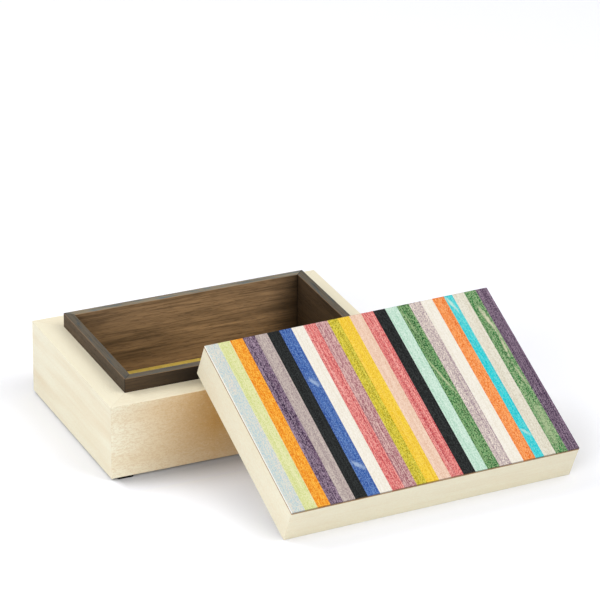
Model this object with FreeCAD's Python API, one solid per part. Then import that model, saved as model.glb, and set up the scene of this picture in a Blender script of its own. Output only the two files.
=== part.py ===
import FreeCAD, Part
import math
import os

# A keepsake box with its lid taken off. The case is a mitred frame of thick pale boards round a
# dark mitred tray, whose rim stands proud of the case as the lip that the lid drops over. The lid
# is a mitred frame with a panel let into its top, faced edge to edge with dyed wooden strips. It
# leans on the case: its front lower edge is on the floor, its rear rail is on the case's top.
#
# Sizes are in millimetres and angles in degrees. +X runs along the box to the right, +Y away
# from its front and +Z up. The pieces are built about the centre of the case's underside, and
# then moved together, so that the origin is on the floor, in the middle of the whole footprint.

# Case
case_length = 241.0
case_width = 165.0
case_height = 60.0
case_wall = 19.0
case_panel_thickness = 6.0
case_rebate = 8.0
edge_ease = 0.4

# Tray, standing on the case's bottom panel
tray_lip = 11.5
tray_wall = 6.8
tray_panel_thickness = 6.0
tray_rebate = 3.2
tray_ease = 0.4
tray_clearance = 0.1

# Felt on the tray's bottom
lining_thickness = 3.0
lining_clearance = 0.2

# Square pads under the case's corners, measured from its outer faces to a pad's edges
foot_width = 13.0
foot_height = 2.0
foot_from_end = 5.5
foot_from_front = 0.9
foot_corner = 1.5
foot_ease = 0.3

# Lid
lid_height = 32.0
lid_panel_thickness = 6.0
lid_rebate = 8.0
lid_clearance = 0.4
panel_clearance = 0.1

# Strips on the lid, from its left end to its right end
strip_thickness = 0.9
strip_colours = [
    "sky", "lime", "orange", "plum", "taupe", "black", "blue", "cream",
    "coral", "mauve", "olive", "yellow", "blush", "coral", "black", "mint",
    "green", "lilac", "cream", "tangerine", "turquoise", "sand", "leaf", "plum",
]
odd_strip_widths = {"sky": 10.8, "orange": 10.5, "olive": 8.4, "turquoise": 7.3}

# How the lid leans: it is turned a little about the vertical, and stands to the right
lid_turn = 2.25
lid_corner_x = -39.3
lean_gap = 0.3

# Sizes that follow from the ones above
inner_length = case_length - 2 * case_wall
inner_width = case_width - 2 * case_wall
tray_length = inner_length - 2 * tray_clearance
tray_width = inner_width - 2 * tray_clearance
tray_foot_z = case_panel_thickness
tray_top_z = case_height + tray_lip
lining_z = tray_foot_z + tray_panel_thickness
lid_recess_length = tray_length + 2 * lid_clearance
lid_recess_width = tray_width + 2 * lid_clearance
lid_rail_width = (case_width - lid_recess_width) / 2
lid_frame_height = lid_height - strip_thickness


def block(length, width, low, high):
    """A block centred on the Z axis, between two heights."""
    corner = FreeCAD.Vector(-length / 2, -width / 2, low)
    return Part.makeBox(length, width, high - low, corner)


def eased_block(length, width, low, high, radius):
    """A block whose twelve edges are rounded over."""
    solid = block(length, width, low, high)
    return solid.makeFillet(radius, solid.Edges)


def rim_edges(solid, length, width, height):
    """The edges of a rectangular opening at one height."""
    found = []
    for edge in solid.Edges:
        middle = edge.CenterOfMass
        on_end = abs(abs(middle.x) - length / 2) < 0.01 and abs(middle.y) < 0.01
        on_side = abs(abs(middle.y) - width / 2) < 0.01 and abs(middle.x) < 0.01
        if abs(middle.z - height) < 0.01 and (on_end or on_side):
            found.append(edge)
    return found


def mitre_wedges(length, width, low, high):
    """Four prisms that part a rectangular frame along its mitres, keyed by side."""
    reach = width / 2
    margin = 5.0
    left, right = -length / 2 - margin, length / 2 + margin
    front, back = -width / 2 - margin, width / 2 + margin
    ridge_left, ridge_right = -length / 2 + reach, length / 2 - reach
    outlines = {
        "front": [(left, front), (right, front), (ridge_right, 0), (ridge_left, 0)],
        "back": [(left, back), (ridge_left, 0), (ridge_right, 0), (right, back)],
        "left": [(left, front), (ridge_left, 0), (left, back)],
        "right": [(right, front), (right, back), (ridge_right, 0)],
    }
    wedges = {}
    for side, points in outlines.items():
        corners = [FreeCAD.Vector(x, y, low) for x, y in points]
        face = Part.Face(Part.makePolygon(corners + corners[:1]))
        wedges[side] = face.extrude(FreeCAD.Vector(0, 0, high - low))
    return wedges


def mitred_pieces(frame, length, width):
    """The frame's four boards, each cut from it along the mitres, keyed by side."""
    box = frame.BoundBox
    wedges = mitre_wedges(length, width, box.ZMin - 1, box.ZMax + 1)
    return {side: frame.common(wedge).Solids[0] for side, wedge in wedges.items()}


def case_pieces():
    """The four walls, with a rebate below for the bottom panel, and the panel itself."""
    frame = eased_block(case_length, case_width, 0, case_height, edge_ease)
    frame = frame.cut(block(inner_length, inner_width, -1, case_height + 1))
    rebate_length = inner_length + 2 * case_rebate
    rebate_width = inner_width + 2 * case_rebate
    frame = frame.cut(block(rebate_length, rebate_width, -1, case_panel_thickness))
    walls = mitred_pieces(frame, case_length, case_width)
    pieces = {f"case_{side}_wall": wall for side, wall in walls.items()}
    pieces["case_bottom_panel"] = block(
        rebate_length - 2 * panel_clearance,
        rebate_width - 2 * panel_clearance,
        0,
        case_panel_thickness,
    )
    return pieces


def tray_pieces():
    """The dark liner's four walls, its bottom panel and the felt that lies on the panel."""
    opening_length = tray_length - 2 * tray_wall
    opening_width = tray_width - 2 * tray_wall
    frame = eased_block(tray_length, tray_width, tray_foot_z, tray_top_z, tray_ease)
    frame = frame.cut(block(opening_length, opening_width, tray_foot_z - 1, tray_top_z + 1))
    rim = rim_edges(frame, opening_length, opening_width, tray_top_z)
    frame = frame.makeFillet(tray_ease, rim)
    rebate_length = opening_length + 2 * tray_rebate
    rebate_width = opening_width + 2 * tray_rebate
    frame = frame.cut(block(rebate_length, rebate_width, tray_foot_z - 1, lining_z))
    walls = mitred_pieces(frame, tray_length, tray_width)
    pieces = {f"tray_{side}_wall": wall for side, wall in walls.items()}
    pieces["tray_bottom_panel"] = block(
        rebate_length - 2 * panel_clearance,
        rebate_width - 2 * panel_clearance,
        tray_foot_z,
        lining_z,
    )
    pieces["tray_felt_lining"] = block(
        opening_length - 2 * lining_clearance,
        opening_width - 2 * lining_clearance,
        lining_z,
        lining_z + lining_thickness,
    )
    return pieces


def foot_pieces():
    """Four flat square pads, stuck under the case's corners."""
    pad = block(foot_width, foot_width, -foot_height, 0)
    corners = [edge for edge in pad.Edges if abs(edge.CenterOfMass.z + foot_height / 2) < 0.01]
    pad = pad.makeFillet(foot_corner, corners)
    lower = [edge for edge in pad.Edges if edge.CenterOfMass.z < 0.01 - foot_height]
    pad = pad.makeFillet(foot_ease, lower)
    pieces = {}
    for side, sign_y in (("front", -1), ("back", 1)):
        for end, sign_x in (("left", -1), ("right", 1)):
            x = sign_x * (case_length / 2 - foot_from_end - foot_width / 2)
            y = sign_y * (case_width / 2 - foot_from_front - foot_width / 2)
            place = FreeCAD.Placement(FreeCAD.Vector(x, y, 0), FreeCAD.Rotation())
            pieces[f"foot_{side}_{end}"] = placed(pad, place).Solids[0]
    return pieces


def strip_spans():
    """Each strip's left and right edge along the lid, which together cover it end to end."""
    odd_total = sum(odd_strip_widths.get(colour, 0) for colour in strip_colours)
    plain_count = sum(colour not in odd_strip_widths for colour in strip_colours)
    plain_width = (case_length - odd_total) / plain_count
    spans = []
    left = -case_length / 2
    for colour in strip_colours:
        right = left + odd_strip_widths.get(colour, plain_width)
        spans.append((left, right))
        left = right
    return spans


def lid_pieces():
    """The lid as it lies flat, its underside at height 0: rails, panel and strips."""
    body = eased_block(case_length, case_width, 0, lid_height, edge_ease)
    frame = body.common(block(case_length, case_width, 0, lid_frame_height))
    frame = frame.cut(block(lid_recess_length, lid_recess_width, -1, lid_frame_height + 1))
    rebate_length = lid_recess_length + 2 * lid_rebate
    rebate_width = lid_recess_width + 2 * lid_rebate
    panel_z = lid_frame_height - lid_panel_thickness
    frame = frame.cut(block(rebate_length, rebate_width, panel_z, lid_frame_height + 1))
    rails = mitred_pieces(frame, case_length, case_width)
    pieces = {f"lid_{side}_rail": rail for side, rail in rails.items()}
    pieces["lid_panel"] = block(
        rebate_length - 2 * panel_clearance,
        rebate_width - 2 * panel_clearance,
        panel_z,
        lid_frame_height,
    )
    for number, (left, right) in enumerate(strip_spans(), 1):
        cutter = Part.makeBox(
            right - left,
            case_width + 2,
            strip_thickness + 1,
            FreeCAD.Vector(left, -case_width / 2 - 1, lid_frame_height),
        )
        colour = strip_colours[number - 1]
        pieces[f"strip_{number:02d}_{colour}"] = body.common(cutter).Solids[0]
    return pieces


def lid_lean():
    """The placement that leans the flat lid on the case.

    The lid's rounded front lower edge touches the floor. The inner lower edge of its rear rail
    lies just over the case's top, which sets the tilt. Its rear lower edge lies just in front
    of the tray, and as the lid is turned, it comes nearest at the tray's right end.
    """
    reach = case_width - lid_rail_width - edge_ease
    rise = case_height + foot_height + lean_gap - edge_ease
    tilt = math.asin(rise / math.hypot(reach, edge_ease)) + math.atan2(edge_ease, reach)
    turn = math.radians(lid_turn)
    rounding = edge_ease * (math.cos(tilt) + math.sin(tilt) - 1)
    corner_z = -foot_height - rounding
    depth = case_width * math.cos(tilt)
    tray_end_x = tray_length / 2
    along = (tray_end_x - lid_corner_x + depth * math.sin(turn)) / math.cos(turn)
    rear_y = -tray_width / 2 - lean_gap + rounding
    corner_y = rear_y - depth * math.cos(turn) - along * math.sin(turn)
    to_corner = FreeCAD.Placement(
        FreeCAD.Vector(case_length / 2, case_width / 2, 0), FreeCAD.Rotation()
    )
    tilted = FreeCAD.Rotation(FreeCAD.Vector(1, 0, 0), math.degrees(tilt))
    turned = FreeCAD.Rotation(FreeCAD.Vector(0, 0, 1), lid_turn)
    leaning = FreeCAD.Placement(
        FreeCAD.Vector(lid_corner_x, corner_y, corner_z), turned.multiply(tilted)
    )
    return leaning.multiply(to_corner)


def placed(solid, placement):
    """A copy of the solid, moved by the placement."""
    copy = solid.copy()
    copy.Placement = placement.multiply(solid.Placement)
    return copy


def onto_floor(solids):
    """The placement that brings the middle of the solids' footprint, on the floor, to the origin."""
    centre = Part.makeCompound(solids).BoundBox.Center
    return FreeCAD.Placement(
        FreeCAD.Vector(-centre.x, -centre.y, foot_height), FreeCAD.Rotation()
    )


pieces = {}
pieces.update(case_pieces())
pieces.update(tray_pieces())
pieces.update(foot_pieces())
lean = lid_lean()
for name, solid in lid_pieces().items():
    pieces[name] = placed(solid, lean)
shift = onto_floor(list(pieces.values()))
nodes = {name: placed(solid, shift) for name, solid in pieces.items()}

os.makedirs("parts", exist_ok=True)
for name, solid in nodes.items():
    solid.exportStep(f"parts/{name}.step")
print(len(nodes), "pieces written")
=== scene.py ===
import math
from typing import NamedTuple

import bmesh
import bpy
from bpy.props import FloatProperty, FloatVectorProperty, IntProperty, PointerProperty
from mathutils import Euler, Matrix, Vector, noise


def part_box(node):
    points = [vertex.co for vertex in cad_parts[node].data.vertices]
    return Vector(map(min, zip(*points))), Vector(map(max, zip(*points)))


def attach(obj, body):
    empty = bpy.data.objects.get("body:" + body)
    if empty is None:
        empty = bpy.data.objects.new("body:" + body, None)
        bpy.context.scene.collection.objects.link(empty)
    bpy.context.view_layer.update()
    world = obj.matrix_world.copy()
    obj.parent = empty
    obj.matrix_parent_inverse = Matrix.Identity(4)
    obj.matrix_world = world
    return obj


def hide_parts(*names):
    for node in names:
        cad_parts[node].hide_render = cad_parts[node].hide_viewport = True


bl_info = {
    "name": "Keepsake box with a strip-faced lid",
    "version": (1, 0, 0),
    "blender": (4, 5, 0),
    "location": "3D View > Sidebar > Keepsake Box",
    "description": "Finishes a wooden keepsake box: oiled boards, felt and dyed strips",
    "category": "Object",
}

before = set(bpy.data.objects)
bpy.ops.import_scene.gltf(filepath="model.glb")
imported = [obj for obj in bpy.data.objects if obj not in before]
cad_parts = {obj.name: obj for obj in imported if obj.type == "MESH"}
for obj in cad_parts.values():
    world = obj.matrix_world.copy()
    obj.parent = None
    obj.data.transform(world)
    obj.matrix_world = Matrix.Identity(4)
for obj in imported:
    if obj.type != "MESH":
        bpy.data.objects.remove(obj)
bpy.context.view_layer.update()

# Lengths are in metres, and patterns are written in millimetres times MM
MM = 0.001
LAMP_DISTANCE = 2.4
# Two CAD faces or corners this close are the same one
SAME_PLACE = 0.01 * MM
# The pale cut edge of a strip with a painted highlight on its eased arris, and where its cut end
# drinks the most dye
PALE_EDGE_AND_HIGHLIGHT = "#fffdf6"
DARK_END = "#4a3a2c"
SIDES = ("front", "back", "left", "right")
CASE_WALLS = [f"case_{side}_wall" for side in SIDES]
TRAY_WALLS = [f"tray_{side}_wall" for side in SIDES]
LID_RAILS = [f"lid_{side}_rail" for side in SIDES]
STRIPS = sorted(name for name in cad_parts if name.startswith("strip_"))
PADS = sorted(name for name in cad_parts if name.startswith("foot_"))


class Dye(NamedTuple):
    """How one dye took on its veneer. The last three are shares, from 0 to 1."""

    body: str
    deep: str
    pale: str
    streaks: float
    clouds: float
    flecks: float


DYES = {
    "sky": Dye("#cfd9d2", "#9dc2d2", "#f2dfca", 0.3, 0.7, 0.6),
    "lime": Dye("#dcde9f", "#bfcb6a", "#f4f0cc", 0.3, 0.4, 0.5),
    "orange": Dye("#f29b24", "#dd6a02", "#ffce5a", 0.45, 0.2, 0.75),
    "plum": Dye("#644b62", "#2e1e37", "#ae98aa", 1.0, 0.25, 0.85),
    "taupe": Dye("#b8a8a3", "#88747a", "#ddd2c6", 0.4, 0.2, 0.6),
    "black": Dye("#0f1111", "#030404", "#3e4242", 0.35, 0.1, 0.65),
    "blue": Dye("#305da6", "#173785", "#82a0d0", 0.55, 0.2, 0.75),
    "cream": Dye("#f2ece0", "#ddd2ba", "#fefaf2", 0.3, 0.2, 0.4),
    "coral": Dye("#dc6b68", "#b63640", "#f6b8ae", 0.9, 0.2, 0.75),
    "mauve": Dye("#bd888d", "#904d5b", "#e7c8be", 0.9, 0.3, 0.8),
    "olive": Dye("#d1bc2b", "#938412", "#ece164", 0.6, 0.25, 0.85),
    "yellow": Dye("#f2cb30", "#da9d0a", "#ffe67c", 0.35, 0.2, 0.5),
    "blush": Dye("#eecdb6", "#d8a582", "#fde9da", 0.3, 0.25, 0.5),
    "mint": Dye("#c5e1cf", "#92c6aa", "#e9f7ec", 0.35, 0.35, 0.55),
    "green": Dye("#357f45", "#14451e", "#a4c48c", 0.65, 0.5, 0.95),
    "lilac": Dye("#cabab3", "#8f7684", "#f2e6da", 0.95, 0.4, 0.8),
    "tangerine": Dye("#f68e40", "#dc5e12", "#ffc68a", 0.45, 0.2, 0.75),
    "turquoise": Dye("#04cfd8", "#04a5b6", "#98e8dc", 0.4, 0.15, 0.5),
    "sand": Dye("#e3dece", "#c4ba9e", "#f6f2e6", 0.35, 0.2, 0.5),
    "leaf": Dye("#2c8743", "#175827", "#bccda0", 0.6, 0.5, 0.9),
}


class Mark(NamedTuple):
    """A patch on one strip, in millimetres. It lies so far from the lid's back edge, and so far
    to the right of the strip's middle, and its long side is turned from the grain."""

    strip: str
    from_back: float
    to_right: float
    length: float
    width: float
    turned: float
    share: float
    colour: str


MARKS = [
    Mark("strip_07_blue", 54, 0.5, 12, 4.2, -29, 0.75, "#a9bedb"),
    Mark("strip_07_blue", 136, 0.0, 15, 4.4, -40, 0.75, "#a9bedb"),
    Mark("strip_04_plum", 86, 2.5, 5, 1.6, 20, 0.8, "#3b2c46"),
    Mark("strip_10_mauve", 87, -2.0, 3, 1.4, 0, 0.85, "#7e4652"),
    Mark("strip_17_green", 74, -0.5, 40, 2.4, -12, 0.7, "#c9d4a6"),
    Mark("strip_17_green", 18, -2.0, 26, 1.6, -6, 0.5, "#b5c596"),
    Mark("strip_21_turquoise", 9, -0.5, 20, 3.2, -14, 0.8, "#cfe8da"),
    Mark("strip_21_turquoise", 140, 0.0, 12, 2.8, -35, 0.7, "#c4e6da"),
    Mark("strip_23_leaf", 30, 1.6, 30, 3.6, -8, 0.85, "#dad6b8"),
    Mark("strip_23_leaf", 58, 2.6, 26, 2.6, 4, 0.8, "#d6d3b2"),
    Mark("strip_23_leaf", 88, 2.4, 26, 2.6, -5, 0.6, "#cfd2ac"),
    Mark("strip_23_leaf", 136, 0.0, 46, 7.0, 3, 0.45, "#c3cfa4"),
    Mark("strip_24_plum", 80, 0.0, 220, 16.0, 0, 0.25, "#35243e"),
]


def linear(hexcode):
    """An sRGB hex colour as the linear values that shaders take."""
    parts = [int(hexcode[start : start + 2], 16) / 255 for start in (1, 3, 5)]
    return [p / 12.92 if p <= 0.04045 else ((p + 0.055) / 1.055) ** 2.4 for p in parts]


def colour_property(name, description, hexcode):
    """A colour that the sidebar shows with a colour picker."""
    return FloatVectorProperty(
        name=name,
        description=description,
        subtype="COLOR",
        size=3,
        min=0,
        max=1,
        default=linear(hexcode),
    )


class WoodSettings(bpy.types.PropertyGroup):
    """Colours of the plain boards and how deep their grain is."""

    maple: colour_property("Maple", "Planed hard maple under clear oil", "#f2edd7")
    maple_deep: colour_property("Maple grain", "The darker lines and flecks in maple", "#d9b98a")
    # Painted highlight: the case's top face is painted paler, where light falls on it from above
    maple_edge: colour_property("Maple edge", "The paler planed top of the case", "#fdf4d8")
    # Painted warm shade: the shade and warm bounce that the lid casts on the case's front board
    painted_warm_shade: colour_property("Honey maple", "The darker heart of the case's front board", "#cb9d5b")
    heart_fleck: colour_property("Heart flecks", "The brown flecks in the honey board", "#a87a40")
    peach: colour_property("Peach maple", "The small peach sparks in the other boards", "#efc79c")
    walnut: colour_property("Walnut", "Black walnut under clear oil", "#a58665")
    walnut_deep: colour_property("Walnut grain", "The dark streaks and pores in walnut", "#211b16")
    # Painted sheen: the rim's top is painted grey, with cool patches, in place of the room's
    # reflection
    painted_rim_sheen: colour_property("Rubbed walnut", "The grey sheen on the tray's rim", "#988a72")
    painted_cool_sheen: colour_property("Bluish walnut", "The cool patches on the tray's rim", "#66777b")
    ply: colour_property("Birch ply", "Face veneer of the panels", "#dfcba0")
    glue: colour_property("Glue line", "The thin line where two pieces meet", "#96692a")
    grain_depth: FloatProperty(
        name="Grain depth",
        description="How deep the pores of the boards are",
        default=0.06 * MM,
        unit="LENGTH",
        precision=5,
    )


class FeltSettings(bpy.types.PropertyGroup):
    """Colours and fibres of the felt pieces."""

    mustard: colour_property("Lining", "Pressed wool felt on the tray's bottom", "#ffdb60")
    black: colour_property("Pads", "Dense felt pads under the case", "#1d1a18")
    fibre_length: FloatProperty(
        name="Fibre length",
        description="How long a loose fibre on the lining is",
        default=1.3 * MM,
        unit="LENGTH",
        precision=5,
    )
    fibre_width: FloatProperty(
        name="Fibre width",
        description="How thick a loose fibre is, drawn coarser than real wool",
        default=0.09 * MM,
        unit="LENGTH",
        precision=5,
    )
    fibre_density: FloatProperty(
        name="Fibres",
        description="Loose fibres on each square metre of the lining",
        default=280000,
    )
    seed: IntProperty(name="Seed", description="Changes how the fibres lie", default=7)


class DyeSettings(bpy.types.PropertyGroup):
    """One colour for each dye on the lid's strips."""

    __annotations__ = {
        name: colour_property(name.capitalize(), f"The strips dyed {name}", dye.body)
        for name, dye in DYES.items()
    }


class StageSettings(bpy.types.PropertyGroup):
    """The camera, the lights and the floor."""

    lens: FloatProperty(name="Lens", description="Focal length", default=250, unit="CAMERA")
    distance: FloatProperty(
        name="Distance",
        description="From the aim to the camera",
        default=3.182,
        unit="LENGTH",
    )
    azimuth: FloatProperty(
        name="Azimuth",
        description="How far the view is turned from straight at the box's front",
        default=math.radians(-24.33),
        unit="ROTATION",
    )
    elevation: FloatProperty(
        name="Elevation",
        description="How far the camera looks down",
        default=math.radians(25.14),
        unit="ROTATION",
    )
    roll: FloatProperty(
        name="Roll",
        description="How far the camera is rolled about its own axis",
        default=math.radians(0.44),
        unit="ROTATION",
    )
    aim: FloatVectorProperty(
        name="Aim",
        description="The point in the middle of the picture",
        default=(0.0081, 0.0252, 0.1053),
        subtype="TRANSLATION",
    )
    floor: colour_property("Floor", "A matt white sheet", "#fafafa")
    floor_size: FloatProperty(
        name="Floor size",
        description="Length and width of the floor",
        default=30,
        unit="LENGTH",
    )
    contact: FloatProperty(
        name="Contact shadow",
        description="How far from a piece the floor is seen a little darker",
        default=40 * MM,
        unit="LENGTH",
    )
    seen_gain: FloatVectorProperty(
        name="Seen gain",
        description="How much brighter than its light the floor is seen in red, green and blue,"
        " which also takes the wood's warmth out of its shadows",
        default=(1.14, 1.15, 1.2),
        size=3,
    )
    sky_level: FloatProperty(
        name="Room light",
        description="How bright the white room round the box is",
        default=0.34,
    )
    key_power: FloatProperty(
        name="Key light",
        description="Power of the soft light high on the front right",
        default=24.5,
        unit="POWER",
    )
    back_power: FloatProperty(
        name="Back light",
        description="Power of the soft light high on the back left",
        default=23,
        unit="POWER",
    )
    fill_power: FloatProperty(
        name="Fill light",
        description="Power of the soft light low on the front left",
        default=20.5,
        unit="POWER",
    )


def add_node(tree, kind, inputs, out=0, **settings):
    """Adds a node with its settings, and gives back the output with that number or identifier.
    Each input, by number or identifier, gets a value or a link from another node's output."""
    node = tree.nodes.new(kind)
    for name, value in settings.items():
        setattr(node, name, value)
    sockets = dict(enumerate(node.inputs))
    sockets.update({socket.identifier: socket for socket in node.inputs})
    for name, value in inputs.items():
        if isinstance(value, bpy.types.NodeSocket):
            tree.links.new(value, sockets[name])
        else:
            sockets[name].default_value = value
    results = dict(enumerate(node.outputs))
    results.update({socket.identifier: socket for socket in node.outputs})
    return results.get(out)


def opaque(colour):
    """A linear colour with full alpha, as colour sockets take it."""
    return (*colour, 1.0)


def new_surface(name):
    """A new material and its empty node tree."""
    material = bpy.data.materials.new(name)
    material.use_nodes = True
    material.node_tree.nodes.clear()
    return material, material.node_tree


def finish_surface(tree, colour, pits, smooth, rough, depth, **plain):
    """Ends a tree in one shader. Where the pits are 1 the surface lies deeper, by the depth in
    metres, and is as rough as given last."""
    bump = add_node(
        tree,
        "ShaderNodeBump",
        {"Height": pits, "Distance": depth, "Strength": 1.0},
        invert=True,
    )
    roughness = add_node(
        tree, "ShaderNodeMapRange", {"Value": pits, "To Min": smooth, "To Max": rough}
    )
    inputs = {"Base Color": colour, "Roughness": roughness, "Normal": bump}
    inputs.update({name.replace("_", " "): value for name, value in plain.items()})
    shader = add_node(tree, "ShaderNodeBsdfPrincipled", inputs)
    add_node(tree, "ShaderNodeOutputMaterial", {"Surface": shader})


def drawn_out(tree, place, along, across, detail=2.0, distortion=0.0):
    """Noise whose patches are about so long with the grain and so wide across it."""
    squeezed = add_node(
        tree,
        "ShaderNodeMapping",
        {"Vector": place, "Scale": (1 / along, 1 / across, 1 / across)},
    )
    return add_node(
        tree,
        "ShaderNodeTexNoise",
        {"Vector": squeezed, "Scale": 1.0, "Detail": detail, "Distortion": distortion},
    )


def patches(tree, place, along, across, low, high, detail=2.0, distortion=0.0):
    """The same noise as a share, which rises from 0 to 1 between two levels of the noise."""
    return add_node(
        tree,
        "ShaderNodeMapRange",
        {
            "Value": drawn_out(tree, place, along, across, detail, distortion),
            "From Min": low,
            "From Max": high,
        },
    )


def layered(tree, colour, layers):
    """The colour with layers over it. Each is a pattern from 0 to 1, its share and its colour,
    which is a linear one or a link."""
    for pattern, share, shade in layers:
        if not isinstance(shade, bpy.types.NodeSocket):
            shade = opaque(shade)
        factor = add_node(
            tree, "ShaderNodeMath", {0: pattern, 1: share}, operation="MULTIPLY"
        )
        colour = add_node(
            tree,
            "ShaderNodeMix",
            {"Factor_Float": factor, "A_Color": colour, "B_Color": shade},
            out="Result_Color",
            data_type="RGBA",
        )
    return colour


class Carcass:
    """A frame of boards: where its middle is, how it is turned and half of its sizes."""

    def __init__(self, names, turned):
        to_frame = turned.transposed()
        places = []
        for name in names:
            places += [to_frame @ vertex.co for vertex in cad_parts[name].data.vertices]
        low = Vector([min(place[axis] for place in places) for axis in range(3)])
        high = Vector([max(place[axis] for place in places) for axis in range(3)])
        self.turned = turned
        self.half = (high - low) / 2
        self.middle = turned @ ((low + high) / 2)

    def place(self, tree):
        """Object coordinates as measured from the carcass's middle, along its own sides."""
        coordinates = add_node(tree, "ShaderNodeTexCoord", {}, out="Object")
        return add_node(
            tree,
            "ShaderNodeMapping",
            {
                "Vector": coordinates,
                "Location": self.middle,
                "Rotation": self.turned.to_euler(),
            },
            vector_type="TEXTURE",
        )


def block_turn(node):
    """How a plain block is turned: its length lies along X and its width along Y."""
    corners = []
    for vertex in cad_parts[node].data.vertices:
        if all((vertex.co - corner).length > SAME_PLACE for corner in corners):
            corners.append(vertex.co.copy())
    reaches = sorted((corner - corners[0] for corner in corners[1:]), key=lambda r: r.length)
    # The four shortest are the thickness, the width, that side's diagonal and the length
    _, width, _, length = reaches[:4]
    along = length.normalized() * math.copysign(1, length.x)
    across = width.normalized() * math.copysign(1, width.y)
    return Matrix((along, across, along.cross(across))).transposed()


UPRIGHT = Matrix.Identity(3)
case = Carcass(CASE_WALLS, UPRIGHT)
tray = Carcass(TRAY_WALLS, UPRIGHT)
lid = Carcass(LID_RAILS, block_turn("lid_panel"))


def along_board(tree, place, side, seed):
    """The place turned so that the board's grain is X, and moved so that no two boards match."""
    turn = 0 if side in ("front", "back") else math.pi / 2
    return add_node(
        tree,
        "ShaderNodeMapping",
        {
            "Vector": place,
            "Location": (0.317 * seed, 0.173 * seed, 0.091 * seed),
            "Rotation": (0, 0, turn),
        },
    )


def mitre_line(tree, place, carcass, width):
    """1 on the glue lines that run down a carcass's four mitres, and 0 off them."""
    parts = add_node(tree, "ShaderNodeSeparateXYZ", {"Vector": place}).node.outputs
    reach_x = add_node(tree, "ShaderNodeMath", {0: parts["X"]}, operation="ABSOLUTE")
    reach_y = add_node(tree, "ShaderNodeMath", {0: parts["Y"]}, operation="ABSOLUTE")
    apart = add_node(
        tree,
        "ShaderNodeMath",
        {0: reach_x, 1: reach_y},
        operation="SUBTRACT",
    )
    return add_node(
        tree,
        "ShaderNodeMath",
        {0: apart, 1: carcass.half.x - carcass.half.y, 2: width},
        operation="COMPARE",
    )


def planed_maple(name, carcass, side, seed, settings, lined, curl, painted_warm_shade=False, veneered=False):
    """Hard maple, planed and oiled. It is pale and close grained, with soft growth bands, thin
    lines and short flecks, which are drawn some times longer than real ones so that they show.
    The shares of its lines and of its curly flecks are given. A board with painted warm shade
    gets darker and warmer from its left end, painted shade and warm bounce from the lid beside
    it. An unveneered board's top face is painted paler, a painted highlight from light above.
    A veneered one has a glue line on top."""
    material, tree = new_surface(name)
    place = carcass.place(tree)
    grain = along_board(tree, place, side, seed)
    parts = add_node(tree, "ShaderNodeSeparateXYZ", {"Vector": place}).node.outputs
    bands = patches(tree, grain, 120 * MM, 16 * MM, 0.4, 0.72)
    lines = patches(tree, grain, 70 * MM, 1.7 * MM, 0.48, 0.72, 3.0)
    flecks = patches(tree, grain, 2.4 * MM, 0.9 * MM, 0.45, 0.62, 1.0, 1.0)
    sparks = patches(tree, grain, 1.8 * MM, 1.0 * MM, 0.56, 0.68, 1.0, 1.0)
    band_share = 0.12 if veneered else 0.28
    layers = [
        (bands, band_share, settings.maple_deep),
        (lines, lined, settings.maple_deep),
        (flecks, curl, settings.maple_deep),
    ]
    if painted_warm_shade:
        # Painted warm shade: darker and warmer from the left end towards the lid, which shades
        # this board
        end = -carcass.half.x
        shade_from, shade_to = end + 4 * MM, end + 84 * MM
        painted_shade = add_node(
            tree,
            "ShaderNodeMapRange",
            {"Value": parts["X"], "From Min": shade_from, "From Max": shade_to},
        )
        # The painted shade is weaker on the planed top edge than on the face, and weaker at the
        # foot
        face = add_node(
            tree,
            "ShaderNodeMapRange",
            {
                "Value": parts["Z"],
                "From Min": carcass.half.z,
                "From Max": carcass.half.z - 0.6 * MM,
                "To Min": 0.4,
            },
        )
        foot = add_node(
            tree,
            "ShaderNodeMapRange",
            {
                "Value": parts["Z"],
                "From Min": -carcass.half.z,
                "From Max": 0.0,
                "To Min": 0.6,
            },
        )
        share = add_node(tree, "ShaderNodeMath", {0: painted_shade, 1: face}, operation="MULTIPLY")
        share = add_node(tree, "ShaderNodeMath", {0: share, 1: foot}, operation="MULTIPLY")
        layers.append((share, 1.0, settings.painted_warm_shade))
        layers.append((flecks, 0.1, settings.heart_fleck))
        layers.append((sparks, 0.12, settings.maple))
    else:
        layers.append((sparks, curl, settings.peach))
    top_band = 1.1 * MM if veneered else 0.05 * MM
    top = add_node(
        tree,
        "ShaderNodeMath",
        {0: parts["Z"], 1: carcass.half.z - top_band},
        operation="GREATER_THAN",
    )
    mitre = (mitre_line(tree, place, carcass, 0.1 * MM), 0.3, settings.glue)
    if veneered:
        layers += [mitre, (top, 0.9, settings.glue)]
    else:
        # Painted highlight: a case wall's top face is painted paler, as light from above falls on
        # it
        layers += [(top, 0.7, settings.maple_edge), mitre]
    colour = layered(tree, opaque(settings.maple), layers)
    finish_surface(
        tree,
        colour,
        flecks,
        smooth=0.5,
        rough=0.62,
        depth=settings.grain_depth,
        Specular_IOR_Level=0.3,
    )
    return material


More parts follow.
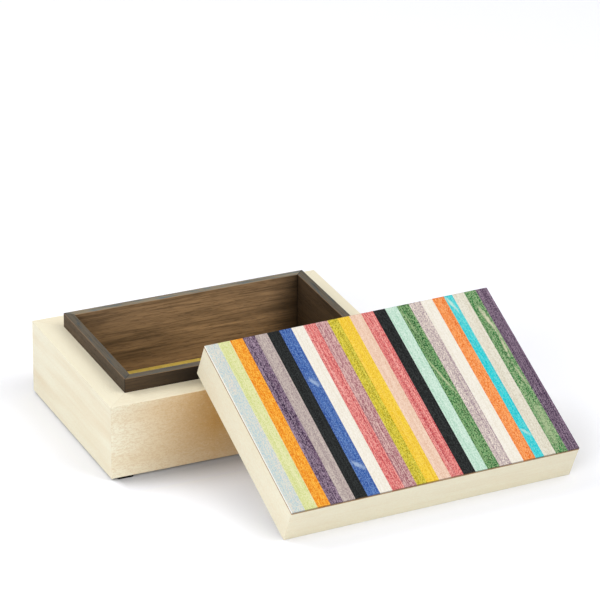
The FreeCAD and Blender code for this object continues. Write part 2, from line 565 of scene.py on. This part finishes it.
def oiled_walnut(name, carcass, side, seed, settings, light, painted_rim_sheen, painted_shade):
    """Black walnut, planed and oiled. It is dark and open grained: broad brown streaks, and
    long pores that are drawn wider than real ones so that they show. Its rim's top is painted
    grey with cool patches, a painted sheen in place of the room's reflection, and the band just
    under it is lighter brown. A board with painted shade gets darker between the two places
    given, in millimetres from the tray's middle. Its light share is partly its own tone and
    partly painted light and shade."""
    material, tree = new_surface(name)
    place = carcass.place(tree)
    grain = along_board(tree, place, side, seed)
    parts = add_node(tree, "ShaderNodeSeparateXYZ", {"Vector": place}).node.outputs
    glow = patches(tree, grain, 60 * MM, 6 * MM, 0.46, 0.72, 3.0, 0.6)
    streaks = patches(tree, grain, 110 * MM, 10 * MM, 0.45, 0.7, 4.0, 0.6)
    lines = patches(tree, grain, 40 * MM, 1.4 * MM, 0.46, 0.68, 3.0)
    pores = patches(tree, grain, 7 * MM, 0.7 * MM, 0.54, 0.68, 1.0)
    worn = patches(tree, grain, 14 * MM, 2.2 * MM, 0.48, 0.62, 3.0)
    edge = add_node(
        tree,
        "ShaderNodeMath",
        {0: parts["Z"], 1: carcass.half.z - 0.4 * MM},
        operation="GREATER_THAN",
    )
    top = add_node(
        tree,
        "ShaderNodeMath",
        {0: parts["Z"], 1: carcass.half.z - 0.03 * MM},
        operation="GREATER_THAN",
    )
    # The board's tone: partly its own and partly painted light and shade
    board = Vector(settings.walnut_deep).lerp(settings.walnut, light)
    # Painted sheen on the rim's top: grey with cool patches, in place of the room's reflection
    grey = Vector(settings.walnut_deep).lerp(settings.painted_rim_sheen, painted_rim_sheen)
    cool = Vector(settings.walnut_deep).lerp(settings.painted_cool_sheen, painted_rim_sheen)
    rim = layered(tree, opaque(grey), [(worn, 0.8, cool), (lines, 0.5, settings.walnut_deep)])
    layers = [
        (glow, 0.5, board * 1.7),
        (streaks, 0.5, settings.walnut_deep),
        (lines, 0.42, settings.walnut_deep),
        (pores, 0.3, settings.walnut_deep),
    ]
    # Painted shade: darker towards the lid on the front board and towards the right wall's corner
    # on the back
    if painted_shade:
        start, end = painted_shade
        darker = add_node(
            tree,
            "ShaderNodeMapRange",
            {"Value": parts["X"], "From Min": start * MM, "From Max": end * MM},
        )
        layers.append((darker, 0.9, settings.walnut_deep))
    layers += [
        (edge, 0.5, settings.walnut),
        (top, 1.0, rim),
        (mitre_line(tree, place, carcass, 0.4 * MM), 0.9, settings.walnut_deep),
    ]
    colour = layered(tree, opaque(board), layers)
    finish_surface(
        tree,
        colour,
        pores,
        smooth=0.45,
        rough=0.6,
        depth=1.5 * settings.grain_depth,
        Specular_IOR_Level=0.12,
    )
    return material


def birch_ply(name, carcass, seed, settings):
    """Birch plywood, sanded. Its faces show wide rotary-cut bands, and its edges show plies."""
    material, tree = new_surface(name)
    place = carcass.place(tree)
    grain = along_board(tree, place, "front", seed)
    bands = patches(tree, grain, 180 * MM, 26 * MM, 0.4, 0.7, 3.0, 1.5)
    lines = patches(tree, grain, 30 * MM, 1.2 * MM, 0.45, 0.7)
    height = add_node(tree, "ShaderNodeSeparateXYZ", {"Vector": place}, out="Z")
    ply_thickness = 1.2 * MM
    ply = add_node(
        tree, "ShaderNodeMath", {0: height, 1: ply_thickness}, operation="PINGPONG"
    )
    crossed = add_node(
        tree,
        "ShaderNodeMapRange",
        {
            "Value": ply,
            "From Min": ply_thickness / 2 - 0.1 * MM,
            "From Max": ply_thickness / 2 + 0.1 * MM,
            "To Min": 1,
            "To Max": 0,
        },
    )
    layers = (
        (bands, 0.5, settings.maple_deep),
        (lines, 0.3, settings.maple_deep),
        (crossed, 0.35, settings.maple_deep),
    )
    colour = layered(tree, opaque(settings.ply), layers)
    finish_surface(tree, colour, lines, smooth=0.6, rough=0.75, depth=settings.grain_depth)
    return material


def marked(tree, colour, place, mark, middle):
    """The colour with one long soft patch laid over it. Noise makes the patch's edge ragged,
    and it fades out between the two distances from its middle, where 1 is its own size."""
    raggedness = 1.6
    fades_from, fades_to = 1.15, 1.95
    middle_x = middle + mark.to_right * MM
    middle_y = lid.half.y - mark.from_back * MM
    own = add_node(
        tree,
        "ShaderNodeMapping",
        {
            "Vector": place,
            "Location": (middle_x, middle_y, 0),
            "Rotation": (0, 0, math.radians(90 - mark.turned)),
            "Scale": (mark.length / 2 * MM, mark.width / 2 * MM, 1),
        },
        vector_type="TEXTURE",
    )
    flat = add_node(
        tree,
        "ShaderNodeVectorMath",
        {"Vector": own, "Vector_001": (1, 1, 0)},
        operation="MULTIPLY",
    )
    ragged = drawn_out(tree, place, 1.1 * MM, 3.2 * MM, 2.0)
    away = add_node(
        tree, "ShaderNodeVectorMath", {"Vector": flat}, out="Value", operation="LENGTH"
    )
    worn = add_node(
        tree,
        "ShaderNodeMath",
        {0: ragged, 1: raggedness, 2: away},
        operation="MULTIPLY_ADD",
    )
    inside = add_node(
        tree,
        "ShaderNodeMapRange",
        {
            "Value": worn,
            "From Min": fades_from,
            "From Max": fades_to,
            "To Min": 1,
            "To Max": 0,
        },
    )
    return layered(tree, colour, [(inside, mark.share, linear(mark.colour))])


def dyed_veneer(name, dye, body, seed):
    """Sycamore veneer, dyed and oiled. The dye lies unevenly: in clouds, in streaks along the
    grain, and deeper in the short pores and at the cut ends. Pores and sparks are drawn some
    times larger than real ones so that they show. The first strip's outer edge is paler, partly
    its pale cut edge and partly a painted highlight on its eased arris."""
    material, tree = new_surface(f"dyed_{name}")
    place = lid.place(tree)
    grain = along_board(tree, place, "left", seed)
    clouds = patches(tree, grain, 30 * MM, 6 * MM, 0.45, 0.72, 3.0, 0.8)
    streaks = patches(tree, grain, 80 * MM, 0.8 * MM, 0.5, 0.62, 3.0)
    deeper = patches(tree, grain, 110 * MM, 1.8 * MM, 0.5, 0.62, 3.0)
    flecks = patches(tree, grain, 1.5 * MM, 0.65 * MM, 0.49, 0.56, 1.0)
    elsewhere = along_board(tree, place, "left", 2.5 * seed)
    sparks = patches(tree, elsewhere, 1.3 * MM, 0.6 * MM, 0.5, 0.57, 1.0)
    apart = add_node(tree, "ShaderNodeVectorMath", {"Vector": place}, operation="ABSOLUTE")
    from_middle = add_node(tree, "ShaderNodeSeparateXYZ", {"Vector": apart}).node.outputs
    cut_end = add_node(
        tree,
        "ShaderNodeMath",
        {0: from_middle["Y"], 1: lid.half.y - 0.3 * MM},
        operation="GREATER_THAN",
    )
    # The outer edge: partly the pale cut edge and partly a painted highlight on the eased arris
    sanded = add_node(
        tree,
        "ShaderNodeMath",
        {0: from_middle["X"], 1: lid.half.x - 0.45 * MM},
        operation="GREATER_THAN",
    )
    edge_and_highlight_share = 0.8 if name == STRIPS[0] else 0.0
    layers = (
        (clouds, dye.clouds, linear(dye.pale)),
        (deeper, dye.streaks, linear(dye.deep)),
        (streaks, 0.8 * dye.streaks, linear(dye.pale)),
        (flecks, dye.flecks, linear(dye.deep)),
        (sparks, 0.7 * dye.flecks, linear(dye.pale)),
        (sanded, edge_and_highlight_share, linear(PALE_EDGE_AND_HIGHLIGHT)),
        (cut_end, 0.6, linear(DARK_END)),
    )
    colour = layered(tree, opaque(body), layers)
    strip = Carcass([name], lid.turned)
    middle = (lid.turned.transposed() @ (strip.middle - lid.middle)).x
    for mark in MARKS:
        if mark.strip == name:
            colour = marked(tree, colour, place, mark, middle)
    finish_surface(
        tree,
        colour,
        flecks,
        smooth=0.52,
        rough=0.64,
        depth=0.04 * MM,
        Specular_IOR_Level=0.1,
    )
    return material


def pressed_felt(name, colour, sheen):
    """Wool felt, pressed. Fibres lie every way, so it has no grain, and its nap is matt with a
    soft sheen at the edges. The fibres are drawn some times thicker than real ones."""
    material, tree = new_surface(name)
    coordinates = add_node(tree, "ShaderNodeTexCoord", {}, out="Object")
    hollows = patches(tree, coordinates, 0.9 * MM, 0.9 * MM, 0.4, 0.7, 4.0, 1.2)
    clouds = patches(tree, coordinates, 14 * MM, 14 * MM, 0.4, 0.7)
    shade = 0.75 * Vector(colour)
    nap = Vector(colour).lerp(Vector((1, 1, 1)), 0.15)
    felt = layered(tree, opaque(colour), [(hollows, 0.3, shade), (clouds, 0.15, shade)])
    finish_surface(
        tree,
        felt,
        hollows,
        smooth=0.88,
        rough=0.98,
        depth=0.3 * MM,
        Specular_IOR_Level=0.1,
        Sheen_Weight=sheen,
        Sheen_Roughness=0.5,
        Sheen_Tint=opaque(nap),
    )
    return material


def dress(node, material):
    """Gives a CAD node's one slot another material."""
    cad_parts[node].data.materials[0] = material


def new_object(name, mesh):
    """A mesh object at the origin."""
    made = bpy.data.objects.new(name, mesh)
    bpy.context.scene.collection.objects.link(made)
    return made


def new_tree(name, sockets):
    """An empty Geometry Nodes tree with a Geometry in and out, and its named inputs."""
    tree = bpy.data.node_groups.new(name, "GeometryNodeTree")
    tree.interface.new_socket("Geometry", in_out="INPUT", socket_type="NodeSocketGeometry")
    tree.interface.new_socket("Geometry", in_out="OUTPUT", socket_type="NodeSocketGeometry")
    for socket, kind in sockets.items():
        tree.interface.new_socket(socket, in_out="INPUT", socket_type=f"NodeSocket{kind}")
    inputs = tree.nodes.new("NodeGroupInput")
    return tree, {socket.name: socket for socket in inputs.outputs if socket.name}


def grown(name, start, tree, values):
    """A plain mesh object: the start mesh after a Geometry Nodes tree with those inputs."""
    source = new_object(f"{name}_start", start)
    modifier = source.modifiers.new(name, "NODES")
    modifier.node_group = tree
    for item in tree.interface.items_tree:
        if item.item_type == "SOCKET" and item.in_out == "INPUT" and item.name in values:
            modifier[item.identifier] = values[item.name]
    evaluated = source.evaluated_get(bpy.context.evaluated_depsgraph_get())
    mesh = bpy.data.meshes.new_from_object(evaluated)
    source.modifiers.remove(modifier)
    bpy.data.objects.remove(source)
    mesh.name = name
    return new_object(name, mesh)


def nap_tree():
    """Loose fibres on the flat top of a felt sheet: short bent threads that lie every way."""
    tree, given = new_tree(
        "loose_fibres",
        {
            "Fibre Length": "Float",
            "Fibre Width": "Float",
            "Density": "Float",
            "Seed": "Int",
            "Felt": "Material",
        },
    )
    normal = add_node(tree, "GeometryNodeInputNormal", {})
    up = add_node(tree, "ShaderNodeSeparateXYZ", {"Vector": normal}, out="Z")
    on_top = add_node(tree, "ShaderNodeMath", {0: up, 1: 0.98}, operation="GREATER_THAN")
    points = add_node(
        tree,
        "GeometryNodeDistributePointsOnFaces",
        {
            "Mesh": given["Geometry"],
            "Selection": on_top,
            "Density": given["Density"],
            "Seed": given["Seed"],
        },
    )
    length = given["Fibre Length"]
    start = add_node(tree, "ShaderNodeMath", {0: length, 1: -0.5}, operation="MULTIPLY")
    bend = add_node(tree, "ShaderNodeMath", {0: length, 1: 0.3}, operation="MULTIPLY")
    rise = add_node(tree, "ShaderNodeMath", {0: length, 1: 0.15}, operation="MULTIPLY")
    end = add_node(tree, "ShaderNodeMath", {0: length, 1: 0.5}, operation="MULTIPLY")
    thread = add_node(
        tree,
        "GeometryNodeCurveQuadraticBezier",
        {
            "Resolution": 4,
            "Start": add_node(tree, "ShaderNodeCombineXYZ", {"X": start}),
            "Middle": add_node(tree, "ShaderNodeCombineXYZ", {"Y": bend, "Z": rise}),
            "End": add_node(tree, "ShaderNodeCombineXYZ", {"X": end}),
        },
    )
    radius = add_node(
        tree, "ShaderNodeMath", {0: given["Fibre Width"], 1: 0.5}, operation="MULTIPLY"
    )
    section = add_node(
        tree, "GeometryNodeCurvePrimitiveCircle", {"Resolution": 3, "Radius": radius}
    )
    fibre = add_node(
        tree,
        "GeometryNodeCurveToMesh",
        {"Curve": thread, "Profile Curve": section, "Fill Caps": True},
    )
    spin = add_node(
        tree,
        "FunctionNodeRandomValue",
        {"Min": (-0.15, -0.15, 0), "Max": (0.15, 0.15, math.tau), "Seed": given["Seed"]},
        data_type="FLOAT_VECTOR",
    )
    size = add_node(
        tree,
        "FunctionNodeRandomValue",
        {"Min_001": 0.6, "Max_001": 1.3, "Seed": given["Seed"]},
        out="Value_001",
        data_type="FLOAT",
    )
    laid = add_node(
        tree,
        "GeometryNodeInstanceOnPoints",
        {"Points": points, "Instance": fibre, "Rotation": spin, "Scale": size},
    )
    threads = add_node(tree, "GeometryNodeRealizeInstances", {"Geometry": laid})
    joined = add_node(tree, "GeometryNodeJoinGeometry", {"Geometry": threads})
    tree.links.new(given["Geometry"], joined.node.inputs["Geometry"])
    end_tree(tree, joined, given["Felt"])
    return tree


def pads_tree():
    """Copies of one pad under the four corners of a box."""
    tree, given = new_tree(
        "pads_at_corners",
        {
            "Length Apart": "Float",
            "Width Apart": "Float",
            "Middle": "Vector",
            "Felt": "Material",
        },
    )
    corners = add_node(
        tree,
        "GeometryNodeMeshGrid",
        {
            "Size X": given["Length Apart"],
            "Size Y": given["Width Apart"],
            "Vertices X": 2,
            "Vertices Y": 2,
        },
    )
    under_case = add_node(
        tree, "GeometryNodeTransform", {"Geometry": corners, "Translation": given["Middle"]}
    )
    stuck = add_node(
        tree,
        "GeometryNodeInstanceOnPoints",
        {"Points": under_case, "Instance": given["Geometry"]},
    )
    pads = add_node(tree, "GeometryNodeRealizeInstances", {"Geometry": stuck})
    end_tree(tree, pads, given["Felt"])
    return tree


def end_tree(tree, geometry, material):
    """Ends a Geometry Nodes tree: its geometry gets the material and goes out."""
    dressed = add_node(
        tree, "GeometryNodeSetMaterial", {"Geometry": geometry, "Material": material}
    )
    add_node(tree, "NodeGroupOutput", {0: dressed})


def felt_sheet(low, high, easing, swell):
    """A closed mesh of a felt sheet between two corners. Its upper edges are rounded, and its
    top rises and falls a little between those heights."""
    steps_x, steps_y = 96, 60
    wave_length = 25 * MM
    rim = (0.0, 0.15, 0.4, 0.7, 1.0)

    def lines(start, end, steps):
        inner = [start + easing + (end - start - 2 * easing) * i / steps for i in range(steps + 1)]
        before = [start + easing * share for share in rim[:-1]]
        after = [end - easing * share for share in reversed(rim[:-1])]
        return before + inner + after

    across, along = lines(low.x, high.x, steps_x), lines(low.y, high.y, steps_y)
    sheet = bmesh.new()
    rows = []
    for y in along:
        row = []
        for x in across:
            inside = min(x - low.x, high.x - x, y - low.y, high.y - y, easing)
            drop = easing - math.sqrt(easing**2 - (easing - inside) ** 2)
            wave = noise.noise(Vector((x, y, 0)) / wave_length) * 0.5 + 0.5
            row.append(sheet.verts.new((x, y, high.z - drop - swell * wave)))
        rows.append(row)
    for lower, upper in zip(rows, rows[1:]):
        for i in range(len(lower) - 1):
            sheet.faces.new((lower[i], lower[i + 1], upper[i + 1], upper[i]))
    rim_edges = [edge for edge in sheet.edges if edge.is_boundary]
    grown_rim = bmesh.ops.extrude_edge_only(sheet, edges=rim_edges)["geom"]
    for vertex in grown_rim:
        if isinstance(vertex, bmesh.types.BMVert):
            vertex.co.z = low.z
    bmesh.ops.holes_fill(sheet, edges=[edge for edge in sheet.edges if edge.is_boundary])
    bmesh.ops.recalc_face_normals(sheet, faces=sheet.faces)
    mesh = bpy.data.meshes.new("felt_sheet")
    sheet.to_mesh(mesh)
    sheet.free()
    return mesh


def pad_block(width, thickness, corner, easing):
    """A closed mesh of one square pad about the Z axis, its top at height 0. Its corners are
    rounded, and its lower edge is worn round."""
    corner_steps, worn_steps = 8, 5
    outline = [(0.0, 0.0), (0.0, easing - thickness)]
    for step in range(1, worn_steps + 1):
        turn = math.pi / 2 * step / worn_steps
        outline.append(
            (easing * (1 - math.cos(turn)), easing - thickness - easing * math.sin(turn))
        )
    pad = bmesh.new()
    rings = []
    for inset, z in outline:
        radius = corner - inset
        ring = []
        for quarter in range(4):
            for step in range(corner_steps + 1):
                turn = math.pi / 2 * (quarter + step / corner_steps)
                square = math.pi / 2 * (quarter + 0.5)
                reach = (width / 2 - corner) * math.sqrt(2)
                x = reach * math.cos(square) + radius * math.cos(turn)
                y = reach * math.sin(square) + radius * math.sin(turn)
                ring.append(pad.verts.new((x, y, z)))
        rings.append(ring)
    for upper, lower in zip(rings, rings[1:]):
        for i in range(len(upper)):
            pad.faces.new((upper[i - 1], lower[i - 1], lower[i], upper[i]))
    pad.faces.new(rings[0])
    pad.faces.new(rings[-1])
    bmesh.ops.recalc_face_normals(pad, faces=pad.faces)
    mesh = bpy.data.meshes.new("pad")
    pad.to_mesh(mesh)
    pad.free()
    return mesh


class KEEPSAKE_OT_case(bpy.types.Operator):
    """Finish the case's four maple walls"""

    bl_idname = "keepsake.finish_case"
    bl_label = "Maple case"

    def execute(self, context):
        wood = context.scene.keepsake_wood
        # How strongly each board's grain shows as lines and as curly flecks
        lined = {"front": 0.15, "back": 0.2, "left": 0.1, "right": 0.15}
        curls = {"front": 0.24, "back": 0.15, "left": 0.06, "right": 0.1}
        for seed, side in enumerate(SIDES, 1):
            name = f"planed_maple_case_{side}"
            # Only the front board gets the painted warm shade from the lid
            maple = planed_maple(
                name, case, side, seed, wood, lined[side], curls[side], side == "front"
            )
            dress(f"case_{side}_wall", maple)
        return {"FINISHED"}


class KEEPSAKE_OT_tray(bpy.types.Operator):
    """Finish the tray's four walnut walls"""

    bl_idname = "keepsake.finish_tray"
    bl_label = "Walnut tray"

    def execute(self, context):
        wood = context.scene.keepsake_wood
        # How light each board is, partly its own tone and partly painted light and shade, how
        # strong the painted sheen on its rim is, and where its painted shade starts and is darkest
        lights = {"front": 0.17, "back": 0.97, "left": 0.16, "right": 0.15}
        rim_sheens = {"front": 0.38, "back": 0.86, "left": 0.32, "right": 0.32}
        painted_shades = {"front": (-95, -45), "back": (68, 96)}
        for seed, side in enumerate(SIDES, 5):
            name = f"oiled_walnut_{side}"
            walnut = oiled_walnut(
                name, tray, side, seed, wood, lights[side], rim_sheens[side], painted_shades.get(side)
            )
            dress(f"tray_{side}_wall", walnut)
        return {"FINISHED"}


class KEEPSAKE_OT_lid(bpy.types.Operator):
    """Finish the lid's four maple rails"""

    bl_idname = "keepsake.finish_lid"
    bl_label = "Maple lid"

    def execute(self, context):
        wood = context.scene.keepsake_wood
        # As in the case, how strongly the lines and the curly flecks show
        lined = {"front": 0.1, "back": 0.2, "left": 0.03, "right": 0.15}
        curls = {"front": 0.08, "back": 0.1, "left": 0.13, "right": 0.1}
        for seed, side in enumerate(SIDES, 9):
            name = f"planed_maple_lid_{side}"
            maple = planed_maple(
                name, lid, side, seed, wood, lined[side], curls[side], veneered=True
            )
            dress(f"lid_{side}_rail", maple)
        return {"FINISHED"}


class KEEPSAKE_OT_panels(bpy.types.Operator):
    """Finish the plywood panels in the case, the tray and the lid"""

    bl_idname = "keepsake.finish_panels"
    bl_label = "Plywood panels"

    def execute(self, context):
        wood = context.scene.keepsake_wood
        holders = {"case_bottom_panel": case, "tray_bottom_panel": tray, "lid_panel": lid}
        for seed, (node, carcass) in enumerate(holders.items(), 13):
            dress(node, birch_ply(f"birch_ply_{node}", carcass, seed, wood))
        return {"FINISHED"}


class KEEPSAKE_OT_strips(bpy.types.Operator):
    """Finish the dyed strips on the lid"""

    bl_idname = "keepsake.finish_strips"
    bl_label = "Dyed strips"

    def execute(self, context):
        dyes = context.scene.keepsake_dyes
        for seed, strip in enumerate(STRIPS, 16):
            colour = strip.split("_")[-1]
            dress(strip, dyed_veneer(strip, DYES[colour], getattr(dyes, colour), seed))
        return {"FINISHED"}


class KEEPSAKE_OT_lining(bpy.types.Operator):
    """Lay the felt lining on the tray's bottom"""

    bl_idname = "keepsake.lay_lining"
    bl_label = "Felt lining"

    def execute(self, context):
        felt = context.scene.keepsake_felt
        low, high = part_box("tray_felt_lining")
        nap = 0.25 * felt.fibre_length
        top = Vector((high.x, high.y, high.z - nap))
        sheet = felt_sheet(low, top, easing=0.8 * MM, swell=0.15 * MM)
        lining = grown(
            "felt_lining",
            sheet,
            nap_tree(),
            {
                "Fibre Length": felt.fibre_length,
                "Fibre Width": felt.fibre_width,
                "Density": felt.fibre_density,
                "Seed": felt.seed,
                "Felt": pressed_felt("pressed_wool_felt_mustard", felt.mustard, 1.0),
            },
        )
        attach(lining, "case")
        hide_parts("tray_felt_lining")
        return {"FINISHED"}


class KEEPSAKE_OT_pads(bpy.types.Operator):
    """Stick the four square felt pads under the case"""

    bl_idname = "keepsake.stick_pads"
    bl_label = "Felt pads"

    def execute(self, context):
        felt = context.scene.keepsake_felt
        boxes = {name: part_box(name) for name in PADS}
        middles = {name: (low + high) / 2 for name, (low, high) in boxes.items()}
        low, high = boxes["foot_front_left"]
        first, last = middles["foot_front_left"], middles["foot_back_right"]
        middle = (first + last) / 2
        middle.z = high.z
        pads = grown(
            "felt_pads",
            pad_block(high.x - low.x, high.z - low.z, corner=1.5 * MM, easing=0.3 * MM),
            pads_tree(),
            {
                "Length Apart": last.x - first.x,
                "Width Apart": last.y - first.y,
                "Middle": middle,
                "Felt": pressed_felt("dense_wool_felt_black", felt.black, 0.1),
            },
        )
        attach(pads, "case")
        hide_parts(*PADS)
        return {"FINISHED"}


class KEEPSAKE_OT_stage(bpy.types.Operator):
    """Set the floor, the lights and the camera"""

    bl_idname = "keepsake.set_stage"
    bl_label = "Stage"

    def execute(self, context):
        scene = context.scene
        stage = scene.keepsake_stage
        lay_floor(stage)
        light_room(scene, stage)
        hang_lamp("key_light", stage.key_power, size=1.6, azimuth=45, elevation=50)
        hang_lamp("back_light", stage.back_power, size=1.6, azimuth=-135, elevation=45)
        hang_lamp("fill_light", stage.fill_power, size=1.4, azimuth=-45, elevation=20)
        place_camera(scene, stage)
        scene.view_settings.view_transform = "Standard"
        return {"FINISHED"}


def light_share(tree):
    """1 for what the camera sees, straight or in a gloss, and 0 for light on the object."""
    path = add_node(tree, "ShaderNodeLightPath", {}).node.outputs
    seen = path["Is Camera Ray"]
    for ray in ("Is Glossy Ray", "Is Transmission Ray"):
        seen = add_node(tree, "ShaderNodeMath", {0: seen, 1: path[ray]}, operation="MAXIMUM")
    return seen


def lay_floor(stage):
    """A matt white sheet that runs off on every side. It is seen a little darker than its light
    makes it close to a piece, and more so along the case's front and back. What is seen is
    that light times the gain, as this colour goes to the camera and to gloss alone."""
    size = stage.floor_size / 2
    in_under = 8 * MM
    away_strength, beside_strength = 0.28, 1.45
    darkest = 0.5
    mesh = bpy.data.meshes.new("floor")
    corners = [(-size, -size, 0), (size, -size, 0), (size, size, 0), (-size, size, 0)]
    mesh.from_pydata(corners, [], [(0, 1, 2, 3)])
    material, tree = new_surface("matt_white_sheet")
    place = case.place(tree)
    apart = add_node(tree, "ShaderNodeVectorMath", {"Vector": place}, operation="ABSOLUTE")
    parts = add_node(tree, "ShaderNodeSeparateXYZ", {"Vector": apart}).node.outputs
    reach = Vector((0, stage.contact, 0))
    shares = []
    for axis, name in enumerate("XY"):
        shares.append(
            add_node(
                tree,
                "ShaderNodeMapRange",
                {
                    "Value": parts[name],
                    "From Min": case.half[axis] + reach[axis],
                    "From Max": case.half[axis] - in_under,
                },
            )
        )
    beside = add_node(
        tree, "ShaderNodeMath", {0: shares[0], 1: shares[1]}, operation="MULTIPLY"
    )
    strength = add_node(
        tree,
        "ShaderNodeMapRange",
        {"Value": beside, "To Min": away_strength, "To Max": beside_strength},
    )
    open_share = add_node(
        tree,
        "ShaderNodeAmbientOcclusion",
        {"Distance": stage.contact},
        out="AO",
        samples=16,
    )
    closed = add_node(
        tree, "ShaderNodeMapRange", {"Value": open_share, "To Min": 1.0, "To Max": 0.0}
    )
    shade = add_node(
        tree, "ShaderNodeMath", {0: closed, 1: strength}, operation="MULTIPLY"
    )
    kept = add_node(tree, "ShaderNodeMath", {0: shade, 1: darkest}, operation="MINIMUM")
    white = [level * gain for level, gain in zip(stage.floor, stage.seen_gain)]
    seen = light_share(tree)
    colour = layered(
        tree, opaque(stage.floor), [(seen, 1.0, white), (seen, kept, (0.0, 0.0, 0.0))]
    )
    paper = add_node(tree, "ShaderNodeBsdfDiffuse", {"Color": colour, "Roughness": 0.5})
    add_node(tree, "ShaderNodeOutputMaterial", {"Surface": paper})
    mesh.materials.append(material)
    new_object("floor", mesh)


def light_room(scene, stage):
    """A white room: it lights the box evenly and is plain white where it is seen."""
    world = bpy.data.worlds.new("white_room")
    world.use_nodes = True
    tree = world.node_tree
    tree.nodes.clear()
    level = add_node(
        tree,
        "ShaderNodeMapRange",
        {"Value": light_share(tree), "To Min": stage.sky_level, "To Max": 1.0},
    )
    room = add_node(
        tree, "ShaderNodeBackground", {"Color": (1.0, 1.0, 1.0, 1.0), "Strength": level}
    )
    add_node(tree, "ShaderNodeOutputWorld", {"Surface": room})
    scene.world = world


def hang_lamp(name, power, size, azimuth, elevation):
    """A square soft lamp that faces the box's middle from so many degrees to the right of its
    front and so many up."""
    lamp = bpy.data.lights.new(name, "AREA")
    lamp.energy = power
    lamp.size = size
    hung = new_object(name, lamp)
    turned = Euler((math.radians(90 - elevation), 0, math.radians(azimuth)))
    hung.location = turned.to_matrix() @ Vector((0, 0, LAMP_DISTANCE))
    hung.rotation_euler = turned


def place_camera(scene, stage):
    """The camera, turned and raised about its aim, and rolled about its own axis."""
    camera = bpy.data.cameras.new("camera")
    camera.lens = stage.lens
    camera.clip_end = stage.floor_size * 2
    held = new_object("camera", camera)
    down = Euler((math.pi / 2 - stage.elevation, 0, stage.azimuth)).to_matrix()
    back = down @ Vector((0, 0, 1))
    held.location = Vector(stage.aim) + back * stage.distance
    held.rotation_euler = (down @ Matrix.Rotation(stage.roll, 3, "Z")).to_euler()
    scene.camera = held


class KEEPSAKE_PT_panel(bpy.types.Panel):
    """The box's finishes and its stage"""

    bl_idname = "KEEPSAKE_PT_panel"
    bl_label = "Keepsake box"
    bl_space_type = "VIEW_3D"
    bl_region_type = "UI"
    bl_category = "Keepsake Box"

    def draw(self, context):
        for operator in OPERATORS:
            self.layout.operator(operator.bl_idname)
        for group in SETTINGS:
            box = self.layout.box()
            settings = getattr(context.scene, group)
            for name in settings.bl_rna.properties.keys():
                if name not in ("rna_type", "name"):
                    box.prop(settings, name)


SETTINGS = {
    "keepsake_wood": WoodSettings,
    "keepsake_felt": FeltSettings,
    "keepsake_dyes": DyeSettings,
    "keepsake_stage": StageSettings,
}
OPERATORS = (
    KEEPSAKE_OT_case,
    KEEPSAKE_OT_tray,
    KEEPSAKE_OT_lid,
    KEEPSAKE_OT_panels,
    KEEPSAKE_OT_strips,
    KEEPSAKE_OT_lining,
    KEEPSAKE_OT_pads,
    KEEPSAKE_OT_stage,
)


def register():
    for name, group in SETTINGS.items():
        bpy.utils.register_class(group)
        setattr(bpy.types.Scene, name, PointerProperty(type=group))
    for cls in (*OPERATORS, KEEPSAKE_PT_panel):
        bpy.utils.register_class(cls)


def unregister():
    for cls in reversed((*OPERATORS, KEEPSAKE_PT_panel)):
        bpy.utils.unregister_class(cls)
    for name, group in reversed(SETTINGS.items()):
        delattr(bpy.types.Scene, name)
        bpy.utils.unregister_class(group)


def main():
    """Registers the add-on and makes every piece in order."""
    register()
    for operator in OPERATORS:
        family, name = operator.bl_idname.split(".")
        getattr(getattr(bpy.ops, family), name)()


if __name__ == "__main__":
    main()
